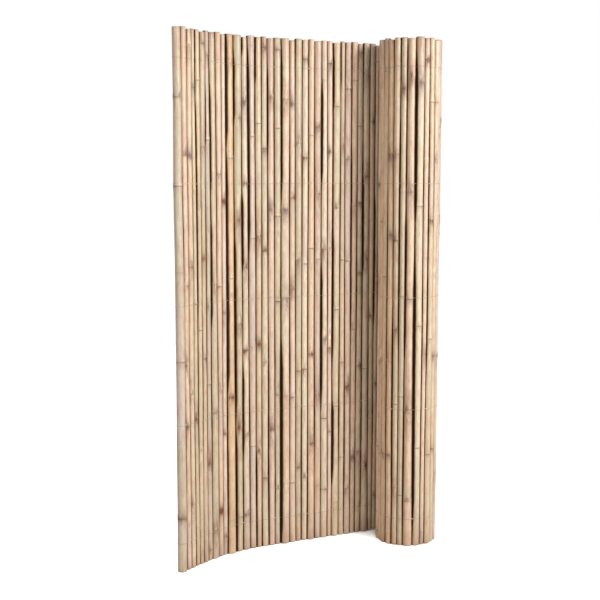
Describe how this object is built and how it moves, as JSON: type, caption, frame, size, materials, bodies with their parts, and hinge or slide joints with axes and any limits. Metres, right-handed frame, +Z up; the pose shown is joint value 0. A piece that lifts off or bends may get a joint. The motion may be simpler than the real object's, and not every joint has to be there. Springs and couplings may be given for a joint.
{
  "type": "bamboo fence panel",
  "caption": "Free-standing screen of upright natural bamboo canes bound side by side by rows of galvanised wire, one end curving forward and the other rolled up.",
  "frame": {"origin": "on the ground, in the middle of the footprint of the standing panel", "axes": "+Z up along the canes, +X to the right from the free end to the roll, +Y away from the front"},
  "size_m": [0.9154, 0.5022, 1.8],
  "materials": {
    "bamboo": "dry natural bamboo skin, satin, with paler and greener canes",
    "galvanised_wire": "thin zinc-coated binding wire, dull grey"
  },
  "bodies": {
    "root": {"binding_wire_1": "galvanised_wire", "binding_wire_2": "galvanised_wire", "binding_wire_3": "galvanised_wire", "binding_wire_4": "galvanised_wire", "binding_wire_5": "galvanised_wire", "cane_01": "bamboo", "cane_02": "bamboo", "cane_03": "bamboo", "cane_04": "bamboo", "cane_05": "bamboo", "cane_06": "bamboo", "cane_07": "bamboo", "cane_08": "bamboo", "cane_09": "bamboo", "cane_10": "bamboo", "cane_11": "bamboo", "cane_12": "bamboo", "cane_13": "bamboo", "cane_14": "bamboo", "cane_15": "bamboo", "cane_16": "bamboo", "cane_17": "bamboo", "cane_18": "bamboo", "cane_19": "bamboo", "cane_20": "bamboo", "cane_21": "bamboo", "cane_22": "bamboo", "cane_23": "bamboo", "cane_24": "bamboo", "cane_25": "bamboo", "cane_26": "bamboo", "cane_27": "bamboo", "cane_28": "bamboo", "cane_29": "bamboo", "cane_30": "bamboo", "cane_31": "bamboo", "cane_32": "bamboo", "cane_33": "bamboo", "cane_34": "bamboo", "cane_35": "bamboo", "cane_36": "bamboo", "cane_37": "bamboo", "cane_38": "bamboo", "cane_39": "bamboo", "cane_40": "bamboo", "cane_41": "bamboo", "cane_42": "bamboo", "cane_43": "bamboo", "cane_44": "bamboo", "cane_45": "bamboo", "cane_46": "bamboo", "cane_47": "bamboo", "cane_48": "bamboo", "cane_49": "bamboo", "cane_50": "bamboo", "cane_51": "bamboo", "cane_52": "bamboo", "cane_53": "bamboo", "cane_54": "bamboo", "inner_turn_canes": "bamboo"}
  },
  "joints": []
}
